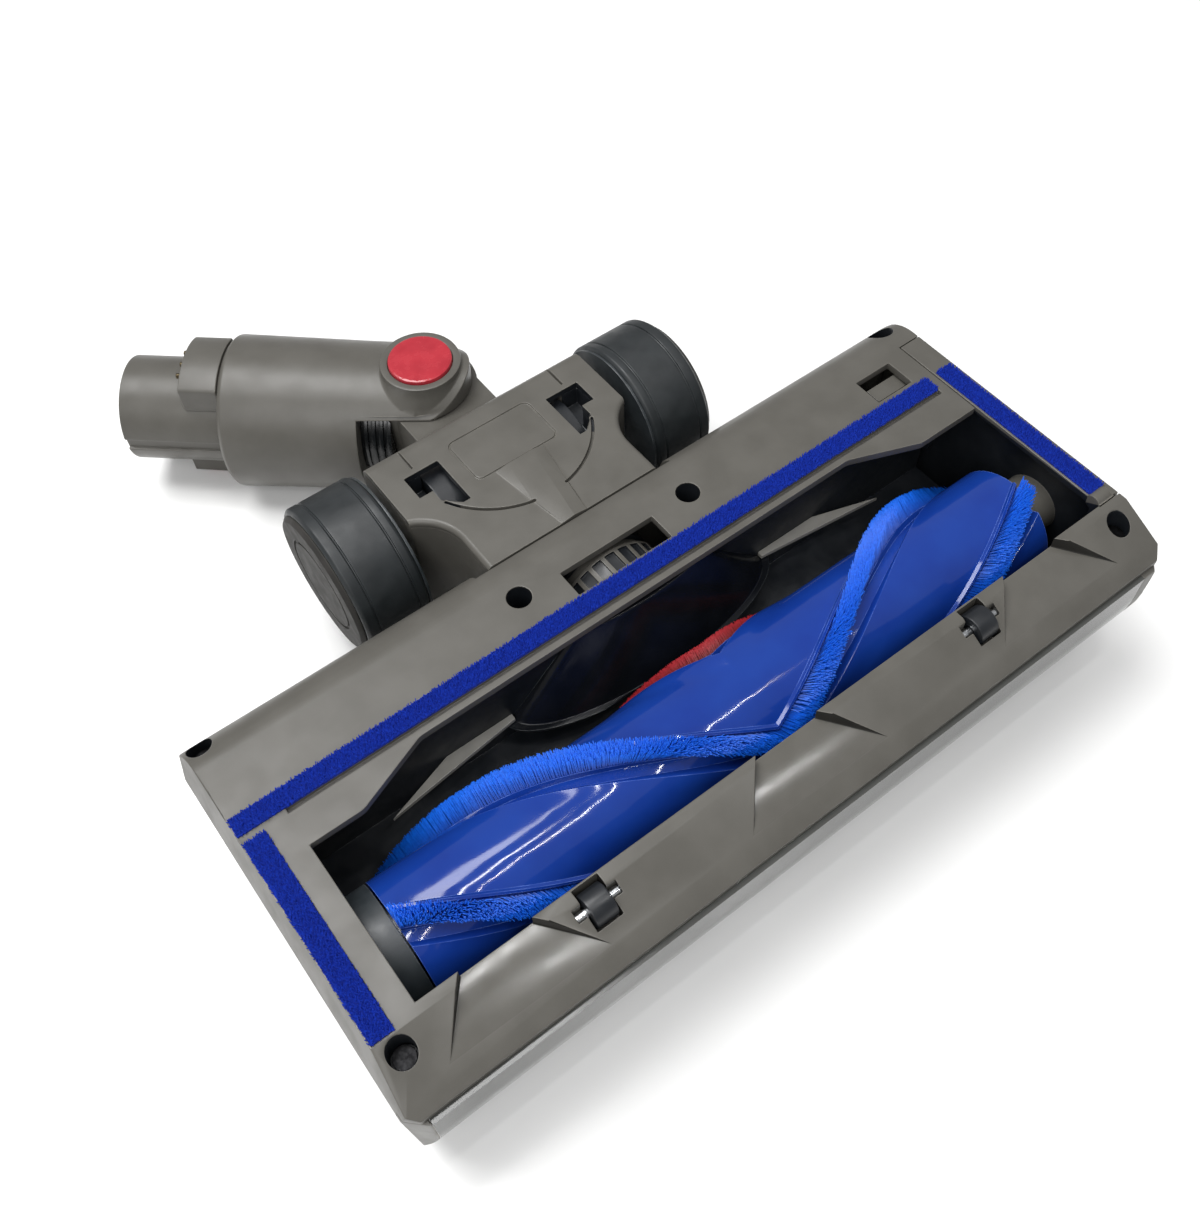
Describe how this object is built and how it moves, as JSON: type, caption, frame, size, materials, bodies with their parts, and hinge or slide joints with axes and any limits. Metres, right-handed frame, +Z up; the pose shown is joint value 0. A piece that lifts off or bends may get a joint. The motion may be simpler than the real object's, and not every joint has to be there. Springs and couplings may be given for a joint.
{
  "type": "motorised vacuum floor head",
  "caption": "Motorised vacuum floor head lying sole up, with a bristle brush bar in its mouth, felt strips, rear wheels and a swivelling neck that ends in a round spigot.",
  "frame": {"origin": "on the flat crown of the top cover that the head lies on, in the middle of its width", "axes": "+X along the head towards the removable end cap, +Y from the front lip back to the wheels, +Z up out of the sole"},
  "size_m": [0.25, 0.2691, 0.0595],
  "materials": {
    "grey_plastic": "satin warm grey moulding",
    "grey_gloss": "smooth grey moulding",
    "clear_plastic": "clear moulding",
    "steel": "plain steel",
    "chrome": "polished",
    "blue_felt": "short pile felt",
    "black_plastic": "satin black moulding",
    "black_gloss": "glossy black moulding",
    "cobalt_tube": "glossy cobalt moulding",
    "azure_bristle": "nylon bristle",
    "red_bristle": "nylon bristle",
    "red_plastic": "smooth red moulding",
    "rubber": "charcoal rubber",
    "brass": "plated contact"
  },
  "bodies": {
    "head": {"sole_plate": "grey_plastic", "clear_window": "clear_plastic", "top_cover": "grey_plastic", "sole_screws": "steel", "felt_rear": "blue_felt", "felt_left": "blue_felt", "roller_axle_left": "chrome", "roller_axle_right": "chrome", "motor_can": "steel", "motor_mount": "black_plastic", "chamber_liner": "black_plastic", "ledge_left": "grey_plastic", "ledge_right": "grey_plastic", "duct_dome": "black_gloss", "roll_seat": "grey_plastic"},
    "cap": {"end_cap": "grey_plastic", "felt_right": "blue_felt"},
    "lock": {"cap_lock": "red_plastic"},
    "brush": {"brush_tube": "cobalt_tube", "bristles_a": "azure_bristle", "bristles_b": "red_bristle", "bristles_c": "azure_bristle", "drive_hub": "black_plastic", "end_bush": "black_plastic"},
    "front_roller_left": {"roller_left": "black_plastic"},
    "front_roller_right": {"roller_right": "black_plastic"},
    "carriage": {"carriage_shell": "grey_plastic", "roll_collar": "grey_plastic", "carriage_pan": "grey_plastic", "axle_left": "steel", "axle_right": "steel"},
    "wheel_left": {"hub_left": "grey_plastic", "tyre_left": "rubber", "wheel_cap_left": "grey_gloss"},
    "wheel_right": {"hub_right": "grey_plastic", "tyre_right": "rubber", "wheel_cap_right": "grey_gloss"},
    "pitch_knuckle": {"knuckle": "grey_plastic"},
    "neck": {"neck_sleeve": "grey_plastic", "neck_spigot": "grey_plastic", "contact_block": "grey_plastic", "contact_pins": "brass", "bellows": "rubber", "pivot_pin_top": "steel", "pivot_pin_bottom": "steel", "pivot_disc_top": "red_plastic", "pivot_disc_bottom": "red_plastic"},
    "button": {"release_button": "red_plastic"}
  },
  "joints": [
    {"name": "cap_slide", "type": "slide", "parent": "head", "child": "cap", "axis": [1, 0, 0], "range_m": [0, 0.03]},
    {"name": "cap_lock_turn", "type": "hinge", "parent": "cap", "child": "lock", "pos_m": [0.1225, 0.022, 0.027], "axis": [1, 0, 0], "range_deg": [0, 90]},
    {"name": "brush_spin", "type": "hinge", "parent": "cap", "child": "brush", "pos_m": [0, -0.0205, 0.036], "axis": [1, 0, 0], "continuous": true},
    {"name": "front_roller_left_spin", "type": "hinge", "parent": "head", "child": "front_roller_left", "pos_m": [-0.063, -0.0472, 0.0542], "axis": [1, 0, 0], "continuous": true},
    {"name": "front_roller_right_spin", "type": "hinge", "parent": "head", "child": "front_roller_right", "pos_m": [0.063, -0.0472, 0.0542], "axis": [1, 0, 0], "continuous": true},
    {"name": "carriage_roll", "type": "hinge", "parent": "head", "child": "carriage", "pos_m": [0, 0.0405, 0.037], "axis": [0, 1, 0], "range_deg": [-8, 8]},
    {"name": "wheel_left_spin", "type": "hinge", "parent": "carriage", "child": "wheel_left", "pos_m": [-0.053, 0.085, 0.035], "axis": [1, 0, 0], "continuous": true},
    {"name": "wheel_right_spin", "type": "hinge", "parent": "carriage", "child": "wheel_right", "pos_m": [0.053, 0.085, 0.035], "axis": [1, 0, 0], "continuous": true},
    {"name": "neck_pitch", "type": "hinge", "parent": "carriage", "child": "pitch_knuckle", "pos_m": [0, 0.085, 0.035], "axis": [1, 0, 0], "range_deg": [-80, 3]},
    {"name": "neck_swivel", "type": "hinge", "parent": "pitch_knuckle", "child": "neck", "pos_m": [0, 0.129, 0.025], "axis": [0, 0, 1], "range_deg": [-106, 8]},
    {"name": "button_press", "type": "slide", "parent": "neck", "child": "button", "axis": [0, 0, 1], "range_m": [0, 0.0016], "stiffness_N_per_m": 800, "springref_m": -0.002}
  ]
}
